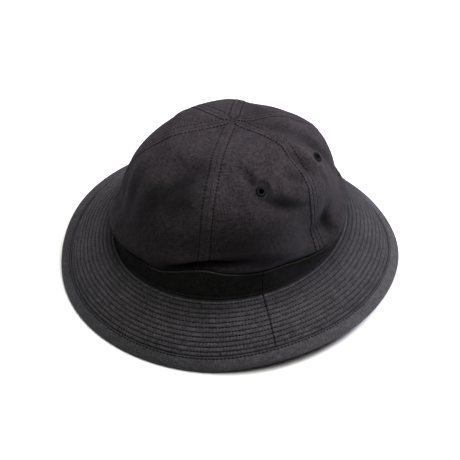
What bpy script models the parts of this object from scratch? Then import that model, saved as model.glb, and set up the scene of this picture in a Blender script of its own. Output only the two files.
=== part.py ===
# Soft army hat: six-panel crown, band, quilted sloping brim with a bound rim, four thread eyelets
# Metres, +Z up. The hat rests on its rim at z = 0 and its front faces -Y.
# Azimuths are counted from the front towards the right side of the hat (+X).
import math

import bmesh
import bpy
from mathutils import Matrix, Vector

# Brim and rim
RIM_HALF_WIDTH = 0.1364
RIM_HALF_LENGTH = 0.1406
RIM_SIDE_LIFT = 0.0105
RIM_LEFT_EXTRA_LIFT = 0.0020
REST_ARC = math.radians(23.0)
BRIM_WALL = 0.0024
BRIM_ARCH = 0.0020
BRIM_LEDGE = 0.0017
BINDING_WALL = 0.0010
BINDING_WIDTH = 0.0102
REST_FLAT = 0.00035

# Band
BAND_HALF_WIDTH = 0.0880
BAND_HALF_LENGTH = 0.0977
BAND_SKEW = 0.024
BAND_FOOT_HEIGHT = 0.0365
BAND_HEIGHT = 0.0180
BAND_WALL = 0.0016
BAND_FLARE = 0.0010
BAND_FLARE_SHARE = 0.5

# Crown
CROWN_HEIGHT = 0.0748
CROWN_WALL = 0.0012
CROWN_TUCK = 0.0050
CROWN_OVERHANG = 0.0002
CROWN_LIP_RISE = 0.0026
CROWN_LIP_SHARE = 0.6
PANEL_PUFF = 0.0008
APEX_RIGHT = 0.0027
APEX_FORWARD = 0.0007
APEX_POINT_RADIUS = 0.0004

# Whole hat leans forward on its rim
HAT_TILT = math.radians(1.4)

# Eyelets
EYELET_RADIUS = 0.0041
EYELET_HOLE_RADIUS = 0.0019
EYELET_THREAD = 0.0007
EYELET_STIFF_RADIUS = 0.0085
EYELET_SLOPE_STRETCH = 1.5

# Clearances
SEAM_GAP = 0.0003
HEM_GAP = 0.0007
EDGE_GAP = 0.0003
SEAT_GAP = 0.0005
EYELET_GAP = 0.0005

# How finely the pieces are divided
RING_COLUMNS = 72
PANEL_COLUMNS = 10
FOLD_STEPS = 6
EYELET_SIDES = 12
WELD = 0.00002

# The band's top edge, drawn up at the front and bulging at the right: azimuth in degrees, height and
# lean outwards as shares of BAND_HEIGHT
BAND_TOP = [
    {"azimuth": 0, "height": 0.92, "lean": 0.01},
    {"azimuth": 10, "height": 0.91, "lean": 0.01},
    {"azimuth": 18, "height": 1.14, "lean": 0.00},
    {"azimuth": 26, "height": 1.38, "lean": 0.00},
    {"azimuth": 33, "height": 1.46, "lean": 0.00},
    {"azimuth": 40, "height": 1.29, "lean": 0.00},
    {"azimuth": 48, "height": 1.18, "lean": 0.00},
    {"azimuth": 58, "height": 1.07, "lean": 0.00},
    {"azimuth": 69, "height": 1.04, "lean": 0.00},
    {"azimuth": 78, "height": 0.94, "lean": 0.06},
    {"azimuth": 87, "height": 0.92, "lean": 0.22},
    {"azimuth": 96, "height": 0.92, "lean": 0.35},
    {"azimuth": 108, "height": 0.92, "lean": 0.34},
    {"azimuth": 132, "height": 0.92, "lean": 0.14},
    {"azimuth": 160, "height": 0.92, "lean": 0.00},
    {"azimuth": 250, "height": 0.92, "lean": 0.00},
    {"azimuth": 330, "height": 0.92, "lean": 0.06},
    {"azimuth": 350, "height": 0.90, "lean": 0.05},
]

# Crown sections above the band: height as a share of CROWN_HEIGHT, radius as a share of the band's
# half sizes, then how far that ring swells forward, right, lengthwise and diagonally
CROWN_SECTIONS = [
    {"height": 0.160, "radius": 0.950, "forward": 0.045, "right": 0.015, "oval": -0.020, "diagonal": 0.025},
    {"height": 0.330, "radius": 0.905, "forward": 0.050, "right": 0.030, "oval": -0.020, "diagonal": 0.015},
    {"height": 0.535, "radius": 0.815, "forward": 0.100, "right": 0.090, "oval": 0.000, "diagonal": -0.025},
    {"height": 0.730, "radius": 0.697, "forward": 0.130, "right": 0.135, "oval": 0.015, "diagonal": -0.050},
    {"height": 0.875, "radius": 0.535, "forward": 0.145, "right": 0.110, "oval": -0.025, "diagonal": -0.050},
    {"height": 0.963, "radius": 0.395, "forward": 0.160, "right": 0.080, "oval": -0.070, "diagonal": -0.050},
]

# Seams between the crown panels: azimuth in degrees at the band, half way along and at the apex
CROWN_SEAMS = [
    {"foot": -44.0, "middle": -42.0, "apex": -30.0},
    {"foot": 30.5, "middle": 32.5, "apex": 27.0},
    {"foot": 89.0, "middle": 92.0, "apex": 103.0},
    {"foot": 150.0, "middle": 150.0, "apex": 157.0},
    {"foot": 210.0, "middle": 210.0, "apex": 214.0},
    {"foot": 266.0, "middle": 268.0, "apex": 272.0},
]

# Dents and folds of the soft crown: centre azimuth in degrees and height share, half length and half
# width as shares of CROWN_HEIGHT, turn from the upright in degrees, depth as a share of CROWN_HEIGHT
CROWN_DENTS = [
    {"azimuth": 6, "height": 0.58, "length": 0.42, "width": 0.17, "turn": 12, "depth": 0.055},
    {"azimuth": 13, "height": 0.80, "length": 0.17, "width": 0.085, "turn": 50, "depth": 0.034},
    {"azimuth": 60, "height": 0.80, "length": 0.22, "width": 0.075, "turn": -35, "depth": 0.030},
    {"azimuth": 75, "height": 0.60, "length": 0.26, "width": 0.085, "turn": -55, "depth": 0.050},
    {"azimuth": 72, "height": 0.82, "length": 0.24, "width": 0.080, "turn": -62, "depth": -0.026},
    {"azimuth": 103, "height": 0.77, "length": 0.13, "width": 0.090, "turn": -20, "depth": 0.030},
    {"azimuth": 111, "height": 0.62, "length": 0.40, "width": 0.070, "turn": 0, "depth": 0.018},
    {"azimuth": 104, "height": 0.22, "length": 0.20, "width": 0.080, "turn": 0, "depth": 0.045},
    {"azimuth": 91, "height": 0.38, "length": 0.13, "width": 0.080, "turn": 90, "depth": 0.035},
    {"azimuth": 36, "height": 0.16, "length": 0.40, "width": 0.065, "turn": 84, "depth": 0.055},
    {"azimuth": 330, "height": 0.60, "length": 0.22, "width": 0.070, "turn": -35, "depth": 0.026},
    {"azimuth": 217, "height": 0.94, "length": 0.25, "width": 0.140, "turn": 0, "depth": -0.021},
    {"azimuth": 176, "height": 0.92, "length": 0.33, "width": 0.230, "turn": 0, "depth": 0.033},
]

# Eyelets: azimuth in degrees and height share, the two at the back left placed like the two that show
EYELETS = [
    {"azimuth": 61.0, "height": 0.767},
    {"azimuth": 114.0, "height": 0.745},
    {"azimuth": 239.0, "height": 0.745},
    {"azimuth": 282.0, "height": 0.767},
]

# Crown rows from hem to apex: 0 to 3 are the tucked hem, then one whole number for each section
HEM_ROWS = [0.0, 1.0, 2.0, 3.0]
BODY_ROW_STEP = 0.5
LIP_ROW = 3
LAST_ROW = LIP_ROW + len(CROWN_SECTIONS) + 1

# Rows over which the dents die away towards the firm seams at the band and at the apex
LIP_FADE_ROWS = 0.8
APEX_FADE_ROWS = 0.6


def clear_scene():
    for old in list(bpy.data.objects):
        bpy.data.objects.remove(old, do_unlink=True)


def cloth(name, colour, roughness):
    material = bpy.data.materials.new(name)
    material.use_nodes = True
    shader = material.node_tree.nodes["Principled BSDF"]
    shader.inputs["Base Color"].default_value = (*colour, 1.0)
    shader.inputs["Roughness"].default_value = roughness
    shader.inputs["Metallic"].default_value = 0.0
    return material


def oval_radius(azimuth, half_width, half_length):
    across = math.sin(azimuth) / half_width
    along = math.cos(azimuth) / half_length
    return 1.0 / math.hypot(across, along)


def smooth_step(share):
    share = min(max(share, 0.0), 1.0)
    return share * share * (3.0 - 2.0 * share)


def angle_between(first, second):
    return (first - second + math.pi) % (2.0 * math.pi) - math.pi


def turned_point(azimuth, radius, height, centre_right=0.0, centre_forward=0.0):
    x = centre_right + radius * math.sin(azimuth)
    y = -centre_forward - radius * math.cos(azimuth)
    return Vector((x, y, height))


def tilted(point):
    return Vector((point.x, point.y, point.z + point.y * math.tan(HAT_TILT)))


def sheet_object(name, columns, rows, place, wall, material):
    # A grid laid out by place(across, along) and thickened inwards into a closed wall
    mesh = bmesh.new()
    bmesh.ops.create_grid(mesh, x_segments=columns, y_segments=rows, size=0.5)
    for vertex in mesh.verts:
        vertex.co = place(vertex.co.x + 0.5, vertex.co.y + 0.5)
    bmesh.ops.remove_doubles(mesh, verts=mesh.verts, dist=WELD)
    for face in mesh.faces:
        face.smooth = True
    data = bpy.data.meshes.new(name)
    mesh.to_mesh(data)
    mesh.free()
    data.materials.append(material)
    piece = bpy.data.objects.new(name, data)
    bpy.context.collection.objects.link(piece)
    thicken = piece.modifiers.new("Wall", "SOLIDIFY")
    thicken.thickness = wall
    thicken.offset = -1.0
    return piece


# Band

def band_foot_radius(azimuth):
    oval = oval_radius(azimuth, BAND_HALF_WIDTH, BAND_HALF_LENGTH)
    return oval * (1.0 + BAND_SKEW * math.sin(2.0 * azimuth))


def round_the_hat(table, column, azimuth):
    # Smooth closed curve through one column of a table
    place = math.degrees(azimuth) % 360.0
    after = next((index for index, row in enumerate(table) if row["azimuth"] > place), 0)
    near = [table[(after + step) % len(table)] for step in (-2, -1, 0, 1)]
    start = near[1]["azimuth"]
    turns = [(row["azimuth"] - start + 180.0) % 360.0 - 180.0 for row in near]
    values = [row[column] for row in near]
    span = turns[2]
    share = ((place - start) % 360.0) / span
    leave = (values[2] - values[0]) / (turns[2] - turns[0]) * span
    arrive = (values[3] - values[1]) / turns[3] * span
    rise = values[2] - values[1]
    cubic = leave + arrive - 2.0 * rise
    return values[1] + share * (leave + share * (3.0 * rise - 2.0 * leave - arrive + share * cubic))


def band_outer_radius(azimuth, share):
    lean = BAND_HEIGHT * round_the_hat(BAND_TOP, "lean", azimuth)
    flare = BAND_FLARE * (1.0 - smooth_step(share / BAND_FLARE_SHARE))
    return band_foot_radius(azimuth) + lean * share + flare


def band_height(azimuth):
    return BAND_HEIGHT * round_the_hat(BAND_TOP, "height", azimuth)


def build_band(material):
    row_shares = [0.0, 0.12, 0.5, 0.88, 1.0]

    def place(across, along):
        share = row_shares[round(along * (len(row_shares) - 1))]
        azimuth = 2.0 * math.pi * across
        height = BAND_FOOT_HEIGHT + band_height(azimuth) * share
        return tilted(turned_point(azimuth, band_outer_radius(azimuth, share), height))

    return sheet_object("band", RING_COLUMNS, len(row_shares) - 1, place, BAND_WALL, material)


# Brim and binding

def fold_radius():
    # Radius of the binding's outer face where it wraps the brim's edge
    return BRIM_WALL / 2.0 + EDGE_GAP + BINDING_WALL


def fold_middle(azimuth):
    past_rest = (math.sin(azimuth) ** 2 - math.sin(REST_ARC) ** 2) / math.cos(REST_ARC) ** 2
    side_lift = RIM_SIDE_LIFT - RIM_LEFT_EXTRA_LIFT * math.sin(azimuth)
    height = fold_radius() - REST_FLAT + side_lift * smooth_step(past_rest)
    radius = oval_radius(azimuth, RIM_HALF_WIDTH - fold_radius(), RIM_HALF_LENGTH - fold_radius())
    return turned_point(azimuth, radius, height)


def ledge_edge(azimuth):
    # Outer edge of the flat ledge that carries the band, on the brim's middle surface
    height = BAND_FOOT_HEIGHT - SEAT_GAP - BRIM_WALL / 2.0
    return tilted(turned_point(azimuth, band_foot_radius(azimuth) + BRIM_LEDGE, height))


def brim_frame(azimuth, share):
    # Point on the brim's middle surface at a share of its slope, the way outwards along it, the way up.
    # The slope is a shallow arch, BRIM_ARCH high half way along
    start = ledge_edge(azimuth)
    slope = fold_middle(azimuth) - start
    around = Vector((math.cos(azimuth), math.sin(azimuth), 0.0))
    slope_up = around.cross(-slope).normalized()
    middle = start + slope * share + slope_up * (4.0 * BRIM_ARCH * share * (1.0 - share))
    outwards = (slope + slope_up * (4.0 * BRIM_ARCH * (1.0 - 2.0 * share))).normalized()
    return middle, outwards, around.cross(-outwards).normalized()


def build_brim(material):
    slope_rows = 5

    def place(across, along):
        azimuth = 2.0 * math.pi * across
        row = round(along * (slope_rows + 1))
        if row == slope_rows + 1:
            inner = band_foot_radius(azimuth) - BAND_WALL
            return tilted(turned_point(azimuth, inner, BAND_FOOT_HEIGHT - SEAT_GAP))
        middle, _, up = brim_frame(azimuth, 1.0 - row / slope_rows)
        return middle + up * (BRIM_WALL / 2.0)

    return sheet_object("brim", RING_COLUMNS, slope_rows + 1, place, BRIM_WALL, material)


def build_binding(material):
    # From the lower inner edge, round the folded rim, to the upper inner edge
    rows = FOLD_STEPS + 2

    def place(across, along):
        azimuth = 2.0 * math.pi * across
        row = round(along * rows)
        if row in (0, rows):
            side = -1.0 if row == 0 else 1.0
            slope_length = (fold_middle(azimuth) - ledge_edge(azimuth)).length
            share = 1.0 - (BINDING_WIDTH - fold_radius()) / slope_length
            middle, _, up = brim_frame(azimuth, share)
            point = middle + up * (side * fold_radius())
        else:
            middle, outwards, up = brim_frame(azimuth, 1.0)
            turn = -math.pi / 2.0 + math.pi * (row - 1) / FOLD_STEPS
            point = middle + (outwards * math.cos(turn) + up * math.sin(turn)) * fold_radius()
        return Vector((point.x, point.y, max(point.z, 0.0)))

    return sheet_object("brim_binding", RING_COLUMNS, rows, place, BINDING_WALL, material)


# Crown

def crown_profile(azimuth):
    # Radius and height above the band foot's level for each whole row, hem to apex
    band_edge = band_height(azimuth)
    band_top = band_outer_radius(azimuth, 1.0)
    lean = math.atan2(band_top - band_outer_radius(azimuth, 0.5), band_edge * 0.5)
    hem_low = band_outer_radius(azimuth, 1.0 - CROWN_TUCK / band_edge) - BAND_WALL / math.cos(lean) - HEM_GAP
    inner_edge = band_edge + BAND_WALL * max(math.sin(lean), 0.0)
    rows = [
        (hem_low, band_edge - CROWN_TUCK),
        (band_top - BAND_WALL * math.cos(lean) - HEM_GAP, inner_edge + EDGE_GAP / 2.0),
        (band_top - BAND_WALL * CROWN_LIP_SHARE, inner_edge + EDGE_GAP * 2.5),
        (band_top + CROWN_OVERHANG, band_edge + CROWN_LIP_RISE),
    ]
    foot = oval_radius(azimuth, BAND_HALF_WIDTH, BAND_HALF_LENGTH)
    for section in CROWN_SECTIONS:
        swell = section["forward"] * math.cos(azimuth) + section["right"] * math.sin(azimuth)
        swell += section["oval"] * math.cos(2.0 * azimuth) + section["diagonal"] * math.sin(2.0 * azimuth)
        radius = foot * section["radius"] * (1.0 + swell)
        drawn_up = (band_edge - BAND_HEIGHT) * (1.0 - section["height"]) ** 3
        rows.append((radius, BAND_HEIGHT + CROWN_HEIGHT * section["height"] + drawn_up))
    rows.append((0.0, BAND_HEIGHT + CROWN_HEIGHT))
    return rows


def curve_through(rows, row):
    # Straight along the hem, then one smooth curve from the lip to the apex
    start = min(int(row), len(rows) - 2)
    share = row - start
    before, after = rows[start], rows[start + 1]
    if start < LIP_ROW:
        return tuple(a + (b - a) * share for a, b in zip(before, after))
    if start == LIP_ROW:
        ahead_of_start = tuple(2.0 * a - b for a, b in zip(before, after))
    else:
        ahead_of_start = rows[start - 1]
    if start + 2 < len(rows):
        past_end = rows[start + 2]
    else:
        past_end = tuple(2.0 * b - a for a, b in zip(before, after))
    values = []
    for p, a, b, n in zip(ahead_of_start, before, after, past_end):
        cubic = -p + 3.0 * a - 3.0 * b + n
        square = 2.0 * p - 5.0 * a + 4.0 * b - n
        values.append(a + 0.5 * share * ((b - p) + share * (square + share * cubic)))
    return tuple(values)


def seam_azimuth(seam, row):
    # Foot to middle to apex, eased so that the seam line has no corner
    foot, middle, apex = seam["foot"], seam["middle"], seam["apex"]
    share = max(row - LIP_ROW, 0.0) / (LAST_ROW - LIP_ROW)
    bend = foot - 2.0 * middle + apex
    return math.radians(foot + (apex - foot - bend) * share + bend * share * share)


def loose_dent_depth(azimuth, radius, height_share):
    depth = 0.0
    for dent in CROWN_DENTS:
        across = angle_between(azimuth, math.radians(dent["azimuth"])) * radius
        upward = (height_share - dent["height"]) * CROWN_HEIGHT
        turn = math.radians(dent["turn"])
        along = upward * math.cos(turn) + across * math.sin(turn)
        aside = across * math.cos(turn) - upward * math.sin(turn)
        along /= dent["length"] * CROWN_HEIGHT
        aside /= dent["width"] * CROWN_HEIGHT
        depth += dent["depth"] * CROWN_HEIGHT * math.exp(-along ** 2 - aside ** 2)
    return depth


def dent_depth(azimuth, radius, height_share):
    # The stitched eyelets hold the cloth flat round them
    depth = loose_dent_depth(azimuth, radius, height_share)
    for eyelet in EYELETS:
        middle = math.radians(eyelet["azimuth"])
        across = angle_between(azimuth, middle) * radius
        upward = (height_share - eyelet["height"]) * CROWN_HEIGHT * EYELET_SLOPE_STRETCH
        held = smooth_step(2.0 - math.hypot(across, upward) / EYELET_STIFF_RADIUS)
        if held > 0.0:
            depth += held * (loose_dent_depth(middle, radius, eyelet["height"]) - depth)
    return depth


def crown_point(azimuth, row, puff_share=0.0):
    rows = crown_profile(azimuth)
    radius, height = curve_through(rows, row)
    share = max(0.0, (height - BAND_HEIGHT) / CROWN_HEIGHT)
    small_step = 0.05
    ahead = curve_through(rows, min(row + small_step, LAST_ROW))
    behind = curve_through(rows, max(row - small_step, 0.0))
    slope = Vector((ahead[0] - behind[0], ahead[1] - behind[1])).normalized()
    free = smooth_step((row - LIP_ROW) / LIP_FADE_ROWS) * smooth_step((LAST_ROW - row) / APEX_FADE_ROWS)
    out = free * (PANEL_PUFF * puff_share - dent_depth(azimuth, radius, share))
    radius += slope.y * out
    height -= slope.x * out
    right, forward = APEX_RIGHT * share, APEX_FORWARD * share
    return tilted(turned_point(azimuth, radius, BAND_FOOT_HEIGHT + height, right, forward))


def crown_rows():
    rows = list(HEM_ROWS)
    while rows[-1] < LAST_ROW - BODY_ROW_STEP / 2.0:
        rows.append(rows[-1] + BODY_ROW_STEP)
    return rows


def build_panel(number, material):
    left = CROWN_SEAMS[number - 1]
    right = CROWN_SEAMS[number % len(CROWN_SEAMS)]
    rows = crown_rows()
    full_turn = 2.0 * math.pi if number == len(CROWN_SEAMS) else 0.0

    def place(across, along):
        row = rows[round(along * (len(rows) - 1))]
        middle = (seam_azimuth(left, row) + seam_azimuth(right, row) + full_turn) / 2.0
        if row == LAST_ROW:
            return crown_point(middle, row) + turned_point(middle, APEX_POINT_RADIUS, 0.0)
        half_gap = SEAM_GAP / 2.0 / curve_through(crown_profile(middle), row)[0]
        start = seam_azimuth(left, row) + half_gap
        end = seam_azimuth(right, row) + full_turn - half_gap
        puff = math.sin(math.pi * across) ** 2
        return crown_point(start + (end - start) * across, row, puff)

    name = f"crown_panel_{number}"
    return sheet_object(name, PANEL_COLUMNS, len(rows) - 1, place, CROWN_WALL, material)


# Eyelets

def row_at_height(azimuth, height_share):
    # Search up the crown for the row at a height share
    low, high = float(LIP_ROW), float(LAST_ROW)
    for _ in range(30):
        middle = (low + high) / 2.0
        height = curve_through(crown_profile(azimuth), middle)[1]
        if (height - BAND_HEIGHT) / CROWN_HEIGHT < height_share:
            low = middle
        else:
            high = middle
    return low


def panel_puff_at(azimuth, row):
    for number, left in enumerate(CROWN_SEAMS):
        right = CROWN_SEAMS[(number + 1) % len(CROWN_SEAMS)]
        start = seam_azimuth(left, row)
        width = (seam_azimuth(right, row) - start) % (2.0 * math.pi)
        across = ((azimuth - start) % (2.0 * math.pi)) / width
        if across <= 1.0:
            return math.sin(math.pi * across) ** 2
    return 0.0


def eyelet_placement(eyelet):
    azimuth = math.radians(eyelet["azimuth"])
    row = row_at_height(azimuth, eyelet["height"])
    puff = panel_puff_at(azimuth, row)
    reach = EYELET_RADIUS / oval_radius(azimuth, BAND_HALF_WIDTH, BAND_HALF_LENGTH)
    reach_rows = 0.25
    right = crown_point(azimuth + reach, row, puff)
    left = crown_point(azimuth - reach, row, puff)
    above = crown_point(azimuth, row + reach_rows, puff)
    below = crown_point(azimuth, row - reach_rows, puff)
    normal = (right - left).cross(above - below).normalized()
    middle = (right + left + above + below) / 4.0 - normal * (CROWN_WALL / 2.0)
    return Matrix.Translation(middle) @ normal.to_track_quat("Z", "Y").to_matrix().to_4x4()


def build_eyelet(number, eyelet, material):
    # Thread ring that wraps the edge of the hole on both faces of the cloth
    inner = EYELET_HOLE_RADIUS
    waist = inner + EYELET_THREAD
    near = CROWN_WALL / 2.0 + EYELET_GAP
    far = near + EYELET_THREAD
    soft = EYELET_THREAD / 2.0
    outline = [
        (inner, -near), (inner, near), (inner + soft, far), (EYELET_RADIUS - soft, far),
        (EYELET_RADIUS, near), (waist, near), (waist, -near), (EYELET_RADIUS, -near),
        (EYELET_RADIUS - soft, -far), (inner + soft, -far),
    ]
    mesh = bmesh.new()
    corners = [mesh.verts.new((radius, 0.0, height)) for radius, height in outline]
    edges = [mesh.edges.new((a, b)) for a, b in zip(corners, corners[1:] + corners[:1])]
    bmesh.ops.spin(mesh, geom=corners + edges, cent=(0.0, 0.0, 0.0), axis=(0.0, 0.0, 1.0),
                   angle=2.0 * math.pi, steps=EYELET_SIDES, use_merge=True)
    bmesh.ops.recalc_face_normals(mesh, faces=mesh.faces)
    for face in mesh.faces:
        face.smooth = True
    name = f"eyelet_{number}"
    data = bpy.data.meshes.new(name)
    mesh.to_mesh(data)
    mesh.free()
    data.materials.append(material)
    ring = bpy.data.objects.new(name, data)
    ring.matrix_world = eyelet_placement(eyelet)
    bpy.context.collection.objects.link(ring)
    return ring


def cut_eyelet_hole(panel, number, eyelet):
    cutter_length = 12.0 * CROWN_WALL
    bpy.ops.mesh.primitive_cylinder_add(
        vertices=EYELET_SIDES, radius=EYELET_HOLE_RADIUS + EYELET_THREAD + EYELET_GAP,
        depth=cutter_length)
    cutter = bpy.context.active_object
    cutter.name = f"eyelet_cutter_{number}"
    cutter.matrix_world = eyelet_placement(eyelet)
    cutter.hide_render = True
    cutter.display_type = "WIRE"
    hole = panel.modifiers.new(f"Eyelet hole {number}", "BOOLEAN")
    hole.operation = "DIFFERENCE"
    hole.solver = "EXACT"
    hole.object = cutter


def panel_under(eyelet, panels):
    for number, left in enumerate(CROWN_SEAMS):
        right = CROWN_SEAMS[(number + 1) % len(CROWN_SEAMS)]
        width = (right["middle"] - left["middle"]) % 360.0
        if (eyelet["azimuth"] - left["middle"]) % 360.0 < width:
            return panels[number]
    return panels[-1]


def build_hat():
    twill = cloth("black_twill", (0.030, 0.028, 0.032), 0.88)
    quilted = cloth("quilted_black_twill", (0.034, 0.032, 0.036), 0.85)
    band_cloth = cloth("band_twill", (0.018, 0.017, 0.018), 0.9)
    bias_cloth = cloth("bias_binding", (0.036, 0.034, 0.038), 0.82)
    thread = cloth("eyelet_thread", (0.012, 0.012, 0.014), 0.6)
    build_brim(quilted)
    build_binding(bias_cloth)
    build_band(band_cloth)
    panels = [build_panel(number, twill) for number in range(1, len(CROWN_SEAMS) + 1)]
    for number, eyelet in enumerate(EYELETS, start=1):
        cut_eyelet_hole(panel_under(eyelet, panels), number, eyelet)
        build_eyelet(number, eyelet, thread)


clear_scene()
build_hat()
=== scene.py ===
import math
from functools import lru_cache, reduce

import bmesh
import bpy
from mathutils import Matrix, Vector, noise


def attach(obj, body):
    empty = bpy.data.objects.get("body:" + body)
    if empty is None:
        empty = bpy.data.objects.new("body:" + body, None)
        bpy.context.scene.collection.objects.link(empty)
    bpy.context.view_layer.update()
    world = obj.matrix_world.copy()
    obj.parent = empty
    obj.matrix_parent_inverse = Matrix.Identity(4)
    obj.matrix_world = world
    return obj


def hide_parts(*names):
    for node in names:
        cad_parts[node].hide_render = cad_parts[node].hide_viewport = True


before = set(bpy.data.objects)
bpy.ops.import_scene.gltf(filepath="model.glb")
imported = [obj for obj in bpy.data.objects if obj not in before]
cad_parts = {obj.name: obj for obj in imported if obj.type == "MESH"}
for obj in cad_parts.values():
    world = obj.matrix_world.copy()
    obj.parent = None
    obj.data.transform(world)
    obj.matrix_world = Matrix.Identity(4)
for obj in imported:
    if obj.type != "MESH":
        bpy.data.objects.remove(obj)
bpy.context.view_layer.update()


def rows_of(columns, *rows):
    # A short table: a dictionary with the named columns for each row
    return [dict(zip(columns.split(), row)) for row in rows]


# Brim and rim. The rim rests on the floor over an arc at the front and one at the back, and lifts at
# the sides, a little more on the left. A shallow valley inside the binding turns the rim up, least at
# FLAT_RIM
RIM_HALF_WIDTH = 0.1364
RIM_HALF_LENGTH = 0.1406
RIM_SIDE_LIFT = 0.0105
RIM_LEFT_EXTRA_LIFT = 0.0020
REST_ARC = math.radians(23.0)
REST_FLAT = 0.00035
BRIM_WALL = 0.0024
BRIM_ARCH = 0.0020
BRIM_LEDGE = 0.0017
RIM_VALLEY = 0.0044
RIM_VALLEY_WIDTH = 0.105
FLAT_RIM = math.radians(43.0)
BINDING_WALL = 0.0010
BINDING_WIDTH = 0.0102
BINDING_EDGE = 0.0004

# Band
BAND_HALF_WIDTH = 0.0880
BAND_HALF_LENGTH = 0.0977
BAND_SKEW = 0.024
BAND_FOOT_HEIGHT = 0.0365
BAND_HEIGHT = 0.0180
BAND_WALL = 0.0016
BAND_FLARE = 0.0010
BAND_FLARE_SHARE = 0.5
BAND_LIP = 0.00022

# Crown. Its lip is the cloth that stands out just above the band: a crease tucks it in at the front,
# and slack cloth left of the crease sags over the band's edge
CROWN_HEIGHT = 0.0748
CROWN_WALL = 0.0012
CROWN_TUCK = 0.0050
CROWN_OVERHANG = 0.0002
CROWN_LIP_RISE = 0.0026
CROWN_LIP_SHARE = 0.6
LIP_TUCK = {"azimuth": math.radians(25.5), "half_width": math.radians(12.0), "depth": 0.0066}
LIP_SAG = {"azimuth": math.radians(-26.0), "half_width": math.radians(18.0), "depth": 0.0038}
PANEL_PUFF = 0.0008
APEX_RIGHT = 0.0027
APEX_FORWARD = 0.0007
APEX_POINT_RADIUS = 0.0004
HAT_TILT = math.radians(1.4)

# Clearances. The panels meet at hairline seams, and points closer than WELD become one
SEAM_GAP = 0.00001
HEM_GAP = 0.0007
EDGE_GAP = 0.0003
SEAT_GAP = 0.0005
WELD = 0.00002

# Eyelets. The cloth under each is kept from folding as far as EYELET_STIFF_RADIUS
EYELET_RADIUS = 0.0041
EYELET_HOLE_RADIUS = 0.0019
EYELET_THREAD = 0.0007
EYELET_TURNS = 30
EYELET_STIFF_RADIUS = 0.0047
EYELET_SLOPE_STRETCH = 1.5
EYELET_GAP = 0.0005
EYELET_CUT_RADIUS = EYELET_HOLE_RADIUS + 0.0010
EYELETS = rows_of("azimuth height", (61.0, 0.767), (114.0, 0.745), (239.0, 0.745), (282.0, 0.767))

# The band's top edge, drawn up at the front and bulging at the right: azimuth in degrees, height and
# lean outwards as shares of BAND_HEIGHT
BAND_TOP = rows_of(
    "azimuth height lean",
    (0, 0.92, 0.01),
    (10, 0.91, 0.01),
    (18, 1.14, 0.00),
    (26, 1.38, 0.00),
    (33, 1.46, 0.00),
    (40, 1.29, 0.00),
    (48, 1.18, 0.00),
    (58, 1.07, 0.00),
    (69, 1.04, 0.00),
    (78, 0.94, 0.06),
    (87, 0.92, 0.22),
    (96, 0.92, 0.35),
    (108, 0.92, 0.34),
    (132, 0.92, 0.14),
    (160, 0.92, 0.00),
    (250, 0.92, 0.00),
    (330, 0.92, 0.06),
    (350, 0.90, 0.05),
)

# The crown's level sections: height as a share of CROWN_HEIGHT, radius as a share of the band's, and
# how far the section swells forward, to the right, lengthwise and on the diagonal
CROWN_SECTIONS = rows_of(
    "height radius forward right oval diagonal",
    (0.160, 0.950, 0.045, 0.015, -0.020, 0.025),
    (0.330, 0.905, 0.050, 0.030, -0.020, 0.015),
    (0.535, 0.815, 0.100, 0.090, 0.000, -0.025),
    (0.730, 0.697, 0.130, 0.135, 0.015, -0.050),
    (0.875, 0.535, 0.145, 0.110, -0.025, -0.050),
    (0.963, 0.395, 0.160, 0.080, -0.070, -0.050),
)

# Seams: azimuth in degrees at the band, half way along and at the apex
CROWN_SEAMS = rows_of(
    "foot middle apex",
    (-44.0, -42.0, -30.0),
    (30.5, 32.5, 27.0),
    (89.0, 92.0, 103.0),
    (150.0, 150.0, 157.0),
    (210.0, 210.0, 214.0),
    (266.0, 268.0, 272.0),
)

# Dents and folds: azimuth in degrees and height share of the centre, half length, half width and
# depth as shares of CROWN_HEIGHT, turn from the upright in degrees. A negative depth is a ridge
CROWN_FOLDS = rows_of(
    "azimuth height length width turn depth",
    (2, 0.64, 0.26, 0.145, 34, 0.050),
    (16, 0.70, 0.15, 0.140, 5, 0.050),
    (11, 0.82, 0.13, 0.060, 62, 0.020),
    (-16, 0.53, 0.27, 0.120, 4, 0.036),
    (-30, 0.40, 0.22, 0.100, 0, 0.028),
    (-32, 0.09, 0.26, 0.075, 88, -0.036),
    (56, 0.82, 0.11, 0.043, -50, 0.038),
    (74, 0.60, 0.28, 0.060, -66, 0.062),
    (84, 0.76, 0.10, 0.042, -59, 0.028),
    (87, 0.69, 0.14, 0.038, -54, -0.020),
    (98, 0.80, 0.10, 0.055, -21, 0.038),
    (109, 0.72, 0.22, 0.050, -10, -0.020),
    (123, 0.74, 0.28, 0.085, -8, 0.048),
    (102, 0.20, 0.14, 0.090, 10, 0.058),
    (92, 0.21, 0.20, 0.065, 96, 0.040),
    (84, 0.38, 0.16, 0.075, 108, 0.032),
    (45, 0.34, 0.46, 0.200, 80, 0.036),
    (58, 0.12, 0.21, 0.070, 93, 0.028),
    (26, 0.075, 0.20, 0.040, 74, 0.084),
    (22, 0.20, 0.24, 0.050, 82, -0.020),
    (40, 0.18, 0.24, 0.043, 88, 0.060),
    (217, 0.94, 0.25, 0.140, 0, -0.021),
    (177, 0.92, 0.33, 0.200, 0, 0.030),
)

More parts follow.
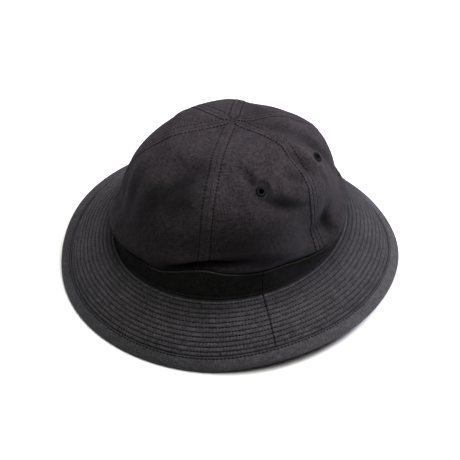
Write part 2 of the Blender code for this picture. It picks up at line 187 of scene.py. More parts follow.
# Painted light and wear: 0.5 is cloth as dyed, less is darker and more is paler. Painted shade darkens the
# cloth for each metre that it is sunk in a fold below PLAIN_DEPTH and towards the band, most in the crease
# above the band, and painted light makes one side palest. Quilting is painted dark in its grooves and pale on
# its puffs, the binding pale on its fold; the pale puffs and fold are painted highlight and rubbed wear
PLAIN_LIGHT_AND_WEAR = 0.5
PAINTED_SHADE_IN_FOLDS = 115.0
PLAIN_DEPTH = 0.001
PAINTED_SHADE_AT_BAND = -0.34
PAINTED_SHADE_AT_TOP = 0.00
PAINTED_LIT_SIDE = math.radians(150.0)
BAND_PAINTED_LIGHT = {"azimuth": PAINTED_LIT_SIDE, "half_width": 1.0, "painted_light_and_wear": 0.30}
QUILT_LIGHT_AND_WEAR = {"groove": 0.22, "puff": 0.36, "beside_binding": 0.42}
BINDING_LIGHT_AND_WEAR = {"under": 0.55, "over": 0.6, "fold": 0.3, "painted_lit_side": 0.20}
EYELET_TONE_AND_HIGHLIGHT = {"foot": 0.02, "lump": 0.10, "bead": 2.6}
CREASE_PAINTED_SHADE = {"azimuth": math.radians(24.0), "half_width": math.radians(10.0), "rise": 0.0038, "painted_light_and_wear": 0.70}

# The weave's place on the strips of cloth: metres once round the hat and for each row of faces
BAND_WEAVE = (0.58, 0.0008)
BRIM_WEAVE = (0.72, 0.0006)
BINDING_WEAVE = (0.80, 0.0008)

# Stitching. A row on the brim is INNER_ROW_ROUND long at the band and longer by up to ROUND_GAINED. A
# seam's way at a point is found over STEP_ALONG, in radians
QUILT_ROWS = 11
QUILT_FIRST = 0.0030
QUILT_PITCH = 0.0040
QUILT_REACH = QUILT_FIRST + QUILT_PITCH * QUILT_ROWS
QUILT_PUFF = 0.0009
QUILT_SINK = 0.0005
STITCH_LENGTH = 0.0026
BRIM_STITCH_LENGTH = 0.0023
INNER_ROW_ROUND = 0.585
ROUND_GAINED = 0.215
BINDING_STITCHES = 300
BAND_STITCHES = 215
THREAD_RADIUS = 0.00030
SEAM_STITCH_OFFSET = 0.0039
BAND_STITCH_DROP = 0.0017
BINDING_STITCH_INSET = 0.0013
STEP_ALONG = 0.002
NOT_SEWN = (0.0, 0.010)

# The join of the band and the brim, with the columns of cloth beside it
JOIN_FOOT = math.radians(57.6)
JOIN_RIM = math.radians(57.7)
JOIN_STITCH_OFFSET = 0.0019
JOIN_STEPS = [-0.0042, -0.0036, -0.0030, -0.0024, -0.0019, -0.0014, -0.0009, -0.0005, -0.00022, 0.0, 0.00022,
              0.0005, 0.0009, 0.0014, 0.0021, 0.0030]

# Relief, and painted light and wear, that run along an edge, a seam or a row of stitches: how much, how far
# from the edge and the half width. A negative relief is a groove. The painted light is shade in grooves and
# joins and highlight on edges and lips
MARK = "much place half_width"
BAND_EDGE_RELIEF = rows_of(MARK, (-0.00030, BAND_STITCH_DROP, 0.0005), (0.00012, 0.0008, 0.0005))
BAND_JOIN_RELIEF = rows_of(MARK, (-0.00040, 0.0, 0.0004), (-0.00020, -JOIN_STITCH_OFFSET, 0.0005))
BAND_EDGE_PAINTED_LIGHT = rows_of(MARK, (1.5, 0.0, 0.0008), (-0.35, BAND_STITCH_DROP, 0.0006))
BAND_FOOT_PAINTED_LIGHT = rows_of(MARK, (1.9, 0.0010, 0.0006), (-0.25, 0.0030, 0.0014))
BAND_JOIN_PAINTED_SHADE = rows_of(MARK, (-0.4, 0.0, 0.0005), (-0.35, -JOIN_STITCH_OFFSET, 0.0005))
BRIM_FOOT_PAINTED_LIGHT = rows_of(MARK, (-0.35, 0.0, 0.0006), (0.50, 0.0016, 0.0007))
BRIM_JOIN_RELIEF = rows_of(
    MARK,
    (-0.0010, 0.0, 0.00055),
    (0.00025, 0.0016, 0.0008),
    (0.00025, -0.0016, 0.0008),
)
BRIM_JOIN_PAINTED_SHADE = rows_of(MARK, (-0.5, 0.0, 0.0005))
BINDING_RELIEF = rows_of(MARK, (-0.00035, BINDING_STITCH_INSET, 0.00055), (0.00018, 0.0050, 0.0026))
BINDING_PAINTED_SHADE = rows_of(MARK, (-0.35, BINDING_STITCH_INSET, 0.0007), (-0.4, 0.0, 0.0006))

# Beside a seam: the cloth rumples freely beyond SEAM_STIFF_REACH. Near the apex a panel's two raised
# strips run together where half its width is under SEAM_FIRM_FROM, and its stitches end where it is
# narrower than NARROWEST_SEWN
SEAM_WELT = 0.00030
SEAM_PUCKER = 0.00010
SEAM_FIRM_FROM = 0.0025
SEAM_FIRM_OVER = 0.0020
SEAM_STIFF_REACH = 0.012
NARROWEST_SEWN = 0.0018
SEAM_RELIEF = rows_of(MARK, (-0.00025, 0.0, 0.00025), (-0.00040, SEAM_STITCH_OFFSET, 0.0004))
SEAM_PAINTED_LIGHT = rows_of(MARK, (0.12, 0.0020, 0.0014), (-0.15, 0.0, 0.0003), (-0.25, SEAM_STITCH_OFFSET, 0.0005))

# Soft unevenness of worn cloth: how much, over about what size, and a number that sets it apart
RUMPLE = "much size seed"
BAND_RUMPLES = rows_of(RUMPLE, (0.0005, 0.020, 1), (0.00022, 0.007, 2))
PUFF_RUMPLES = rows_of(RUMPLE, (0.35, 0.010, 11), (0.2, 0.004, 12))
BRIM_RUMPLES = rows_of(RUMPLE, (0.0007, 0.045, 21), (0.0003, 0.016, 22))
BINDING_WIDTH_RUMPLES = rows_of(RUMPLE, (0.0003, 0.030, 31))
BINDING_RUMPLES = rows_of(RUMPLE, (0.00022, 0.012, 32))
CROWN_RUMPLES = rows_of(RUMPLE, (0.0009, 0.030, 41), (0.00035, 0.011, 42))

# Rows of the crown's profile: the hem is row 0, the lip over the band LIP_ROW, the apex LAST_ROW.
# The folds fade out over these rows beside the lip and the apex
LIP_ROW = 3
LAST_ROW = LIP_ROW + len(CROWN_SECTIONS) + 1
LIP_FADE_ROWS = 0.4
APEX_FADE_ROWS = 0.6

# Finishes: the twills' colour, turn of the ribs, gloss, sheen and depth of the weave. The twills are one
# black cloth; the brim's and binding's colours are paler and the band's darker than the crown's, as painted
# light and shade
TWILLS = rows_of(
    "name colour turn shine sheen weave_depth",
    ("crown_twill", (0.0124, 0.0104, 0.0117), 0.9, 0.05, 0.03, 0.00025),
    ("quilted_twill", (0.0160, 0.0151, 0.0163), 0.8, 0.06, 0.04, 0.00022),
    ("band_twill", (0.0036, 0.0036, 0.0033), 0.8, 0.04, 0.01, 0.00020),
    ("bias_twill", (0.0172, 0.0165, 0.0178), 0.0, 0.12, 0.08, 0.00022),
)
THREAD_BLACK = (0.0018, 0.0018, 0.0020)
BUTTONHOLE_BLACK = (0.0020, 0.0020, 0.0023)

# Camera as the photograph was taken, and the lights: metres to the camera's right, away from it and up
CAMERA_AZIMUTH = math.radians(43.1)
CAMERA_ELEVATION = math.radians(40.1)
CAMERA_DISTANCE = 0.826
CAMERA_CENTRE = Vector((0.0, 0.0, 0.0061))
CAMERA_AIM_UP = 0.0145
CAMERA_AIM_RIGHT = -0.0005
CAMERA_LENS = 78.26
LIGHT_AIM = Vector((0.0, 0.0, 0.05))
SOFT_LIGHTS = rows_of(
    "name right away up size power colour",
    ("window", 1.5, 0.6, 1.25, 0.7, 76.0, (0.98, 0.95, 1.13)),
    ("ceiling", 0.28, -0.05, 1.7, 1.6, 92.0, (1.0, 0.99, 0.95)),
)

RING_COLUMNS = 620
ROW_SPACING = 0.0009
MIDDLE_COLUMNS = 64


def oval_radius(azimuth, half_width, half_length):
    return 1.0 / math.hypot(math.sin(azimuth) / half_width, math.cos(azimuth) / half_length)


def smooth_step(share):
    share = min(max(share, 0.0), 1.0)
    return share * share * (3.0 - 2.0 * share)


def inside(share, start, end):
    # 1 between the two ends of a stretch, falling off to 0 at them over these shares of it
    return smooth_step(share / start) * smooth_step((1.0 - share) / end)


def bell(distance, half_width):
    return math.exp(-(distance / half_width) ** 2)


def angle_between(first, second):
    return (first - second + math.pi) % (2.0 * math.pi) - math.pi


def nearness(azimuth, place):
    # 1 at the azimuth of a place that a dictionary names, falling off over its half width
    return bell(angle_between(azimuth, place["azimuth"]), place["half_width"])


def marks(table, distance):
    return sum(row["much"] * bell(distance - row["place"], row["half_width"]) for row in table)


def turned_point(azimuth, radius, height, right=0.0, forward=0.0):
    return Vector((right + radius * math.sin(azimuth), -forward - radius * math.cos(azimuth), height))


def tilted(point):
    return Vector((point.x, point.y, point.z + point.y * math.tan(HAT_TILT)))


def rumple(point, table):
    uneven = 0.0
    for row in table:
        seed = row["seed"]
        apart = Vector((seed * 7.3, seed * 3.1, seed * 5.7))
        uneven += row["much"] * noise.noise(point / row["size"] + apart)
    return uneven


def ring_share(column):
    # Share of a full turn at a column of the ring, 1 at the last
    return RING[column % len(RING)] / (2.0 * math.pi) + (column == len(RING))


def ring_azimuths():
    # Even steps round the hat, with close ones beside the join in the band and the brim
    even = [2.0 * math.pi * number / RING_COLUMNS for number in range(RING_COLUMNS)]
    beside = [JOIN_FOOT + offset / BAND_HALF_LENGTH for offset in JOIN_STEPS]
    room = 2.0 * STEP_ALONG
    kept = [azimuth for azimuth in even if beside[0] - room > azimuth or azimuth > beside[-1] + room]
    return sorted(kept + beside)


# Sheets and rings of cloth

def lay_sheet(mesh, columns, rows, place):
    # A grid of faces moved into shape. place(column, row) gives the point, its place on the flat cloth,
    # its painted light and wear, and the number of stitches along and the distance off the nearest row of
    # stitches
    layers = mesh.loops.layers.uv
    for name in ("cloth", "stitches"):
        if not layers.get(name):
            layers.new(name)
    flat, sewn = layers.get("cloth"), layers.get("stitches")
    light_and_wear_layer = mesh.verts.layers.float.get("painted_light_and_wear") or mesh.verts.layers.float.new("painted_light_and_wear")
    made = bmesh.ops.create_grid(mesh, x_segments=columns, y_segments=rows, size=0.5)
    cut, beside = {}, {}
    for vertex in made["verts"]:
        column, row = round((vertex.co.x + 0.5) * columns), round((vertex.co.y + 0.5) * rows)
        vertex.co, cut[vertex], vertex[light_and_wear_layer], beside[vertex] = place(column, row)
    for vertex in made["verts"]:
        for loop in vertex.link_loops:
            loop[flat].uv = cut[vertex]
            loop[sewn].uv = beside[vertex]


def added(name, data):
    made = bpy.data.objects.new(name, data)
    bpy.context.collection.objects.link(made)
    return made


def added_mesh(name, mesh, material):
    data = bpy.data.meshes.new(name)
    mesh.to_mesh(data)
    mesh.free()
    data.materials.append(material)
    return added(name, data)


def finish_piece(name, mesh, material, slot_name, *nodes, turn_outward=True):
    # Welds the sheets into one object that rides with the hat and stands for the solids named in nodes
    bmesh.ops.remove_doubles(mesh, verts=mesh.verts, dist=WELD)
    if turn_outward:
        bmesh.ops.recalc_face_normals(mesh, faces=mesh.faces)
    for face in mesh.faces:
        face.smooth = True
    piece = added_mesh(name, mesh, material)
    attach(piece, "root")
    if nodes:
        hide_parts(*nodes)
    return piece


def lay_round(mesh, rows, place):
    # A closed ring of cloth; place(azimuth, row, share) as for a sheet, share being that of a full turn
    def ring_place(column, row):
        return place(RING[column % len(RING)], row % rows, ring_share(column))

    lay_sheet(mesh, len(RING), rows, ring_place)


def sew_thread(mesh, stitches, place, closed):
    # A row of stitches: one thread that dips into the cloth between them.
    # place(share) gives the point on the cloth, the way along the row and the way out of the cloth
    sides, steps = 5, 6
    columns = stitches * steps

    def around(column, side):
        share = (column % columns if closed else column) / columns
        point, along, out = place(share)
        side_way = along.cross(out).normalized()
        lift = abs(math.sin(math.pi * column / steps)) ** 0.7
        thick = THREAD_RADIUS if closed or 0 < column < columns else 0.0
        turn = 2.0 * math.pi * (side % sides) / sides
        middle = point + out * (THREAD_RADIUS * (1.6 * lift - 1.3))
        co = middle + (out * math.cos(turn) + side_way * math.sin(turn)) * thick
        return co, (share, side / sides), PLAIN_LIGHT_AND_WEAR, NOT_SEWN

    lay_sheet(mesh, columns, sides, around)


def sew_round(mesh, stitches, surface):
    # A row of stitches all round the hat. surface(azimuth) gives a point and the way out of the cloth
    def place(share):
        azimuth = 2.0 * math.pi * share
        point, out = surface(azimuth)
        return point, (surface(azimuth + STEP_ALONG)[0] - point).normalized(), out

    sew_thread(mesh, stitches, place, closed=True)


RING = ring_azimuths()


# Band

def band_foot_radius(azimuth):
    oval = oval_radius(azimuth, BAND_HALF_WIDTH, BAND_HALF_LENGTH)
    return oval * (1.0 + BAND_SKEW * math.sin(2.0 * azimuth))


def round_the_hat(table, column, azimuth):
    # Smooth closed curve through one column of a table
    place = math.degrees(azimuth) % 360.0
    after = next((index for index, row in enumerate(table) if row["azimuth"] > place), 0)
    near = [table[(after + step) % len(table)] for step in (-2, -1, 0, 1)]
    start = near[1]["azimuth"]
    turns = [(row["azimuth"] - start + 180.0) % 360.0 - 180.0 for row in near]
    values = [row[column] for row in near]
    span = turns[2]
    share = ((place - start) % 360.0) / span
    leave = (values[2] - values[0]) / (turns[2] - turns[0]) * span
    arrive = (values[3] - values[1]) / turns[3] * span
    rise = values[2] - values[1]
    cubic = leave + arrive - 2.0 * rise
    return values[1] + share * (leave + share * (3.0 * rise - 2.0 * leave - arrive + share * cubic))


def band_outer_radius(azimuth, share):
    lean = BAND_HEIGHT * round_the_hat(BAND_TOP, "lean", azimuth)
    flare = BAND_FLARE * (1.0 - smooth_step(share / BAND_FLARE_SHARE))
    return band_foot_radius(azimuth) + lean * share + flare


def band_height(azimuth):
    return BAND_HEIGHT * round_the_hat(BAND_TOP, "height", azimuth)


def on_the_cloth(weave, share, row):
    return weave[0] * share, weave[1] * row


def join_distance(azimuth, radius):
    return angle_between(azimuth, JOIN_FOOT) * radius


def band_relief(azimuth, height, full):
    # Out of the cloth: lip at the foot, turned top edge with its stitches, join
    lip = BAND_LIP * smooth_step((height - 0.0002) / 0.0006) * (1.0 - smooth_step((height - 0.0013) / 0.0009))
    across = join_distance(azimuth, band_foot_radius(azimuth))
    return lip + marks(BAND_EDGE_RELIEF, full - height) + marks(BAND_JOIN_RELIEF, across)


def band_surface(azimuth, height):
    full = band_height(azimuth)
    share = height / full
    radius = band_outer_radius(azimuth, share) + band_relief(azimuth, height, full)
    spot = turned_point(azimuth, radius, BAND_FOOT_HEIGHT + height)
    radius += rumple(spot, BAND_RUMPLES) * inside(share, 0.3, 0.25)
    return tilted(turned_point(azimuth, radius, BAND_FOOT_HEIGHT + height))


def sew_band(material, thread):
    mesh = bmesh.new()
    face_rows, round_rows, back_rows = 26, 6, 6
    rows = face_rows + round_rows + back_rows + 1
    half = BAND_WALL / 2.0

    def place(azimuth, row, share_round):
        full = band_height(azimuth)
        low, high = half * 0.4, full - half
        if row < face_rows:
            height = low + (high - low) * row / (face_rows - 1)
            point = band_surface(azimuth, height)
        elif row < face_rows + round_rows:
            turn = math.pi * (row - face_rows + 1) / (round_rows + 1)
            edge = band_surface(azimuth, high)
            point = edge + turned_point(azimuth, half * (math.cos(turn) - 1.0), half * math.sin(turn))
            height = full
        else:
            share = 1.0 - (row - face_rows - round_rows) / back_rows
            height = low + (high - low) * share
            inner = band_outer_radius(azimuth, height / full) - BAND_WALL
            point = tilted(turned_point(azimuth, inner, BAND_FOOT_HEIGHT + height))
        down = full - height
        across = join_distance(azimuth, band_foot_radius(azimuth))
        # Painted highlights on the top edge and the foot's lip, painted shade in the stitched groove, below
        # the lip and at the join, painted light on the lit side
        painted_light_and_wear = PLAIN_LIGHT_AND_WEAR + marks(BAND_EDGE_PAINTED_LIGHT, down) + marks(BAND_FOOT_PAINTED_LIGHT, height)
        painted_light_and_wear += marks(BAND_JOIN_PAINTED_SHADE, across) + BAND_PAINTED_LIGHT["painted_light_and_wear"] * nearness(azimuth, BAND_PAINTED_LIGHT)
        stitch = (BAND_STITCHES * share_round, down - BAND_STITCH_DROP)
        return point, on_the_cloth(BAND_WEAVE, share_round, row), painted_light_and_wear, stitch

    lay_round(mesh, rows, place)
    band = finish_piece("band_cloth", mesh, material, "band_twill", "band")

    mesh = bmesh.new()

    def edge_row(azimuth):
        return band_surface(azimuth, band_height(azimuth) - BAND_STITCH_DROP), turned_point(azimuth, 1.0, 0.0)

    sew_round(mesh, BAND_STITCHES, edge_row)
    side = JOIN_FOOT - JOIN_STITCH_OFFSET / band_foot_radius(JOIN_FOOT)

    def join_row(share):
        height = 0.0016 + (band_height(side) - 0.0040) * share
        point = band_surface(side, height)
        return point, (band_surface(side, height + 0.0004) - point).normalized(), turned_point(side, 1.0, 0.0)

    sew_thread(mesh, 6, join_row, closed=False)
    return band, finish_piece("band_stitching", mesh, thread, "eyelet_thread")


# Brim and binding

def fold_radius():
    return BRIM_WALL / 2.0 + EDGE_GAP + BINDING_WALL


def fold_middle(azimuth):
    # Middle of the rim's fold, that the binding wraps
    past_rest = (math.sin(azimuth) ** 2 - math.sin(REST_ARC) ** 2) / math.cos(REST_ARC) ** 2
    side_lift = RIM_SIDE_LIFT - RIM_LEFT_EXTRA_LIFT * math.sin(azimuth)
    height = fold_radius() - REST_FLAT + side_lift * smooth_step(past_rest)
    radius = oval_radius(azimuth, RIM_HALF_WIDTH - fold_radius(), RIM_HALF_LENGTH - fold_radius())
    return turned_point(azimuth, radius, height)


def ledge_edge(azimuth):
    # Where the brim's slope leaves the flat ledge that the band stands on
    height = BAND_FOOT_HEIGHT - SEAT_GAP - BRIM_WALL / 2.0
    return tilted(turned_point(azimuth, band_foot_radius(azimuth) + BRIM_LEDGE, height))


def brim_frame(azimuth, share):
    # Point on the brim's middle surface at a share of its slope, the way outwards along it, the way up
    start = ledge_edge(azimuth)
    slope = fold_middle(azimuth) - start
    around = Vector((math.cos(azimuth), math.sin(azimuth), 0.0))
    slope_up = around.cross(-slope).normalized()
    off = (share - quilted_share(azimuth)) / RIM_VALLEY_WIDTH
    valley = rim_valley(azimuth) * math.exp(-off * off)
    lift = 4.0 * BRIM_ARCH * share * (1.0 - share) - valley
    steeper = 4.0 * BRIM_ARCH * (1.0 - 2.0 * share) + 2.0 * valley * off / RIM_VALLEY_WIDTH
    middle = start + slope * share + slope_up * lift
    outwards = (slope + slope_up * steeper).normalized()
    return middle, outwards, around.cross(-outwards).normalized()


def rim_valley(azimuth):
    # The rim turns up from a shallow valley inside its binding, most at the back
    return RIM_VALLEY * (0.5 - 0.5 * math.cos(azimuth - FLAT_RIM)) ** 0.8


def slope_length(azimuth):
    return (fold_middle(azimuth) - ledge_edge(azimuth)).length


def quilted_share(azimuth):
    # Share of the slope that lies inside the binding
    return 1.0 - (BINDING_WIDTH - fold_radius()) / slope_length(azimuth)


def quilt_line(number):
    # Place of a stitch row as a share of the quilted slope
    return (QUILT_FIRST + QUILT_PITCH * number) / QUILT_REACH


def quilt_steps(offsets):
    # Shares of the quilted slope for the cloth's columns, close together beside each stitch row
    first = [QUILT_FIRST * number / 5 / QUILT_REACH for number in range(5)]
    return first + [quilt_line(number + offset) for number in range(QUILT_ROWS) for offset in offsets] + [1.0]


def quilt_place(across):
    # Number of the stitch row at a share of the quilted slope, with a fraction between two rows
    return (across * QUILT_REACH - QUILT_FIRST) / QUILT_PITCH


def nearest_stitches(azimuth_share, across):
    place = quilt_place(across)
    number = min(max(round(place), 0), QUILT_ROWS - 1)
    return row_stitches(number) * azimuth_share, abs(place - number) * QUILT_PITCH


def row_stitches(number):
    return round((INNER_ROW_ROUND + ROUND_GAINED * quilt_line(number)) / BRIM_STITCH_LENGTH)


def brim_painted_shade(azimuth, across):
    # Painted shade: darker round the band and beside the binding, most on the side away from the lit one; the
    # brim foot adds a painted shadow and highlight
    painted_shading = 0.10 * smooth_step(across / 0.5) - 0.20 * bell(across, 0.26)
    beside_binding = 0.46 - 0.18 * math.cos(azimuth - PAINTED_LIT_SIDE)
    painted_shading -= beside_binding * bell((1.0 - across) * QUILT_REACH, 0.0014)
    return painted_shading + marks(BRIM_FOOT_PAINTED_LIGHT, across * QUILT_REACH)


def quilt_relief(azimuth, across, spot):
    # across runs from 0 at the foot to 1 at the binding; puffs between the stitch rows. Painted shade in the
    # grooves, pale puffs as painted highlight and rubbed wear
    place = quilt_place(across)
    painted_shading = brim_painted_shade(azimuth, across)
    if place > QUILT_ROWS - 0.02:
        return 0.0, QUILT_LIGHT_AND_WEAR["beside_binding"] + painted_shading
    rise = abs(math.sin(math.pi * (place - math.floor(place)))) ** 0.5
    relief = QUILT_PUFF * rise * (1.0 + rumple(spot, PUFF_RUMPLES)) - QUILT_SINK
    if place < -0.55:
        relief *= smooth_step((place + 0.9) / 0.35)
    off_join = join_offset(azimuth, across)
    relief += marks(BRIM_JOIN_RELIEF, off_join)
    painted_light_and_wear = QUILT_LIGHT_AND_WEAR["groove"] + QUILT_LIGHT_AND_WEAR["puff"] * rise + painted_shading + marks(BRIM_JOIN_PAINTED_SHADE, off_join)
    return relief, painted_light_and_wear


def join_offset(azimuth, across):
    # Distance from the brim's join
    line = JOIN_FOOT + (JOIN_RIM - JOIN_FOOT) * across
    radius = band_foot_radius(azimuth) + (RIM_HALF_WIDTH - BAND_HALF_WIDTH) * across
    return angle_between(azimuth, line) * radius


def slanted(azimuth, across):
    # The brim's columns lean with its join
    return azimuth + (JOIN_RIM - JOIN_FOOT) * across * bell(angle_between(azimuth, JOIN_FOOT), 0.35)


def brim_surface(azimuth, across, side=1.0):
    # Point on the brim's upper face or, with side -1, its under face, the way out of it and its painted light
    # and wear
    azimuth = slanted(azimuth, across)
    share = across * quilted_share(azimuth)
    middle, _, up = brim_frame(azimuth, share)
    relief, painted_light_and_wear = quilt_relief(azimuth, across, middle + up * side * 0.02)
    wave = rumple(middle, BRIM_RUMPLES) * inside(across, 0.25, 0.15)
    return middle + up * (side * (BRIM_WALL / 2.0 + relief) + wave), up * side, painted_light_and_wear


def round_rim(azimuth, turn, radius):
    # Point on an arc round the rim's fold: turn is 0 outwards and a quarter turn straight up
    middle, outwards, up = brim_frame(azimuth, 1.0)
    return middle + (outwards * math.cos(turn) + up * math.sin(turn)) * radius


def sew_brim(material, thread):
    mesh = bmesh.new()
    upper = quilt_steps(((0.0, 0.07, 0.18, 0.33, 0.5, 0.67, 0.82, 0.93)))
    under = quilt_steps(((0.0, 0.25, 0.75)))
    upper_rows, under_rows, edge_rows = len(upper) - 1, len(under) - 1, 3
    rows = upper_rows + under_rows + 2 * edge_rows + 4

    def place(azimuth, row, share):
        inner = band_foot_radius(azimuth) - BAND_WALL
        painted_light_and_wear, stitch = PLAIN_LIGHT_AND_WEAR, NOT_SEWN
        if row == 0:
            point = tilted(turned_point(azimuth, inner, BAND_FOOT_HEIGHT - SEAT_GAP))
        elif row <= upper_rows + 1:
            point, _, painted_light_and_wear = brim_surface(azimuth, upper[row - 1])
            stitch = nearest_stitches(share, upper[row - 1])
        elif row <= upper_rows + 2 * edge_rows + 1:
            turn = math.pi * (row - upper_rows - 2 - (edge_rows - 0.5)) / (2 * edge_rows)
            point = round_rim(azimuth, -turn, BRIM_WALL / 2.0)
        elif row <= rows - 2:
            across = under[under_rows - (row - upper_rows - 2 * edge_rows - 2)]
            point, _, painted_light_and_wear = brim_surface(azimuth, across, -1.0)
            stitch = nearest_stitches(share, across)
        else:
            low = BAND_FOOT_HEIGHT - SEAT_GAP - BRIM_WALL
            point = tilted(turned_point(azimuth, inner, low))
        return point, on_the_cloth(BRIM_WEAVE, share, row), painted_light_and_wear, stitch

    lay_round(mesh, rows, place)
    brim = finish_piece("brim_cloth", mesh, material, "brim_twill", "brim")

    mesh = bmesh.new()
    for number in range(QUILT_ROWS):

        def quilt_row(azimuth, across=quilt_line(number)):
            return brim_surface(azimuth, across)[:2]

        sew_round(mesh, row_stitches(number), quilt_row)
    return brim, finish_piece("brim_stitching", mesh, thread, "eyelet_thread")


def binding_width(azimuth):
    return BINDING_WIDTH + rumple(fold_middle(azimuth), BINDING_WIDTH_RUMPLES)


def binding_surface(azimuth, inset, side=1.0):
    # Point on the binding's outer face, above the brim or below it, and the way out of the cloth.
    # inset is the distance from the strip's inner edge
    share = 1.0 - (binding_width(azimuth) - fold_radius() - inset) / slope_length(azimuth)
    middle, _, up = brim_frame(azimuth, min(share, 1.0))
    out = fold_radius() + marks(BINDING_RELIEF, inset)
    out += rumple(middle, BINDING_RUMPLES) * smooth_step(inset / 0.003)
    return middle + up * (side * out), up * side


def sew_binding(material, thread):
    mesh = bmesh.new()
    flat_rows, turn_rows, inner_rows = ((14, 12, 6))
    rows = 2 * flat_rows + turn_rows + inner_rows + 4

    def place(azimuth, row, share_round):
        flat = binding_width(azimuth) - fold_radius()
        painted_light_and_wear, stitch = BINDING_LIGHT_AND_WEAR["under"], NOT_SEWN
        if row < flat_rows:
            inset = BINDING_EDGE + (flat - BINDING_EDGE) * row / (flat_rows - 1)
            point, _ = binding_surface(azimuth, inset, -1.0)
        elif row < flat_rows + turn_rows:
            turn = -math.pi / 2.0 + math.pi * (row - flat_rows + 1) / (turn_rows + 1)
            point = round_rim(azimuth, turn, fold_radius())
            # Paler on the fold: painted highlight and rubbed wear
            painted_light_and_wear += BINDING_LIGHT_AND_WEAR["fold"] * bell(turn - 0.5, 0.9)
        elif row < 2 * flat_rows + turn_rows:
            inset = flat - (flat - BINDING_EDGE) * (row - flat_rows - turn_rows) / (flat_rows - 1)
            point, _ = binding_surface(azimuth, inset)
            # Painted shade in the stitched groove and along the strip's inner edge
            painted_light_and_wear = BINDING_LIGHT_AND_WEAR["over"] + marks(BINDING_PAINTED_SHADE, inset)
            stitch = (BINDING_STITCHES * share_round, inset - BINDING_STITCH_INSET)
        else:
            step = row - 2 * flat_rows - turn_rows
            if step in (0, 1, inner_rows + 2, inner_rows + 3):
                side = 1.0 if step < 2 else -1.0
                middle, _, up = brim_frame(azimuth, quilted_share(azimuth))
                shy = 0.5 if step in (0, inner_rows + 3) else 1.0
                point = middle + up * (side * (fold_radius() - BINDING_WALL * shy))
            else:
                turn = math.pi / 2.0 * (1.0 - 2.0 * (step - 1) / (inner_rows + 1))
                point = round_rim(azimuth, turn, fold_radius() - BINDING_WALL)
        point.z = max(point.z, 0.0)
        # Painted light: paler on the lit side, darker on the other
        painted_light_and_wear += BINDING_LIGHT_AND_WEAR["painted_lit_side"] * math.cos(azimuth - PAINTED_LIT_SIDE)
        return point, on_the_cloth(BINDING_WEAVE, share_round, row), painted_light_and_wear, stitch

    lay_round(mesh, rows, place)
    binding = finish_piece("rim_binding_strip", mesh, material, "binding_twill", "brim_binding")

    mesh = bmesh.new()
    sew_round(mesh, BINDING_STITCHES, lambda azimuth: binding_surface(azimuth, BINDING_STITCH_INSET))
    return binding, finish_piece("rim_stitching", mesh, thread, "eyelet_thread")


# Crown

def lip_tuck(azimuth):
    # How far the lip is drawn in behind the band's edge, less what the slack cloth hangs over it
    return LIP_TUCK["depth"] * nearness(azimuth, LIP_TUCK) - LIP_SAG["depth"] * nearness(azimuth, LIP_SAG)


@lru_cache(maxsize=100000)
def crown_profile(azimuth):
    # Radius and height of the crown's rows from the hem, behind the band, up to the apex
    band_edge = band_height(azimuth)
    band_top = band_outer_radius(azimuth, 1.0)
    lean = math.atan2(band_top - band_outer_radius(azimuth, 0.5), band_edge * 0.5)
    hem_low = band_outer_radius(azimuth, 1.0 - CROWN_TUCK / band_edge) - BAND_WALL / math.cos(lean) - HEM_GAP
    inner_edge = band_edge + BAND_WALL * max(math.sin(lean), 0.0)
    rows = [
        (hem_low, band_edge - CROWN_TUCK),
        (band_top - BAND_WALL * math.cos(lean) - HEM_GAP, inner_edge + EDGE_GAP / 2.0),
        (band_top - BAND_WALL * CROWN_LIP_SHARE, inner_edge + EDGE_GAP * 2.5),
        (band_top + CROWN_OVERHANG - lip_tuck(azimuth), band_edge + CROWN_LIP_RISE),
    ]
    foot = oval_radius(azimuth, BAND_HALF_WIDTH, BAND_HALF_LENGTH)
    for section in CROWN_SECTIONS:
        swell = section["forward"] * math.cos(azimuth) + section["right"] * math.sin(azimuth)
        swell += section["oval"] * math.cos(2.0 * azimuth) + section["diagonal"] * math.sin(2.0 * azimuth)
        radius = foot * section["radius"] * (1.0 + swell)
        drawn_up = (band_edge - BAND_HEIGHT) * (1.0 - section["height"]) ** 3
        rows.append((radius, BAND_HEIGHT + CROWN_HEIGHT * section["height"] + drawn_up))
    rows.append((0.0, BAND_HEIGHT + CROWN_HEIGHT))
    return rows


def curve_through(rows, row):
    # Straight from row to row at the hem, a smooth curve above the lip
    start = min(int(row), len(rows) - 2)
    share = row - start
    before, after = rows[start], rows[start + 1]
    if start < LIP_ROW:
        return tuple(a + (b - a) * share for a, b in zip(before, after))
    if start == LIP_ROW:
        ahead_of_start = tuple(2.0 * a - b for a, b in zip(before, after))
    else:
        ahead_of_start = rows[start - 1]
    if start + 2 < len(rows):
        past_end = rows[start + 2]
    else:
        past_end = tuple(2.0 * b - a for a, b in zip(before, after))
    values = []
    for p, a, b, n in zip(ahead_of_start, before, after, past_end):
        cubic = -p + 3.0 * a - 3.0 * b + n
        square = 2.0 * p - 5.0 * a + 4.0 * b - n
        values.append(a + 0.5 * share * ((b - p) + share * (square + share * cubic)))
    return tuple(values)


def seam_azimuth(seam, row):
    # A seam bends through its three azimuths
    foot, middle, apex = seam["foot"], seam["middle"], seam["apex"]
    share = max(row - LIP_ROW, 0.0) / (LAST_ROW - LIP_ROW)
    bend = foot - 2.0 * middle + apex
    return math.radians(foot + (apex - foot - bend) * share + bend * share * share)


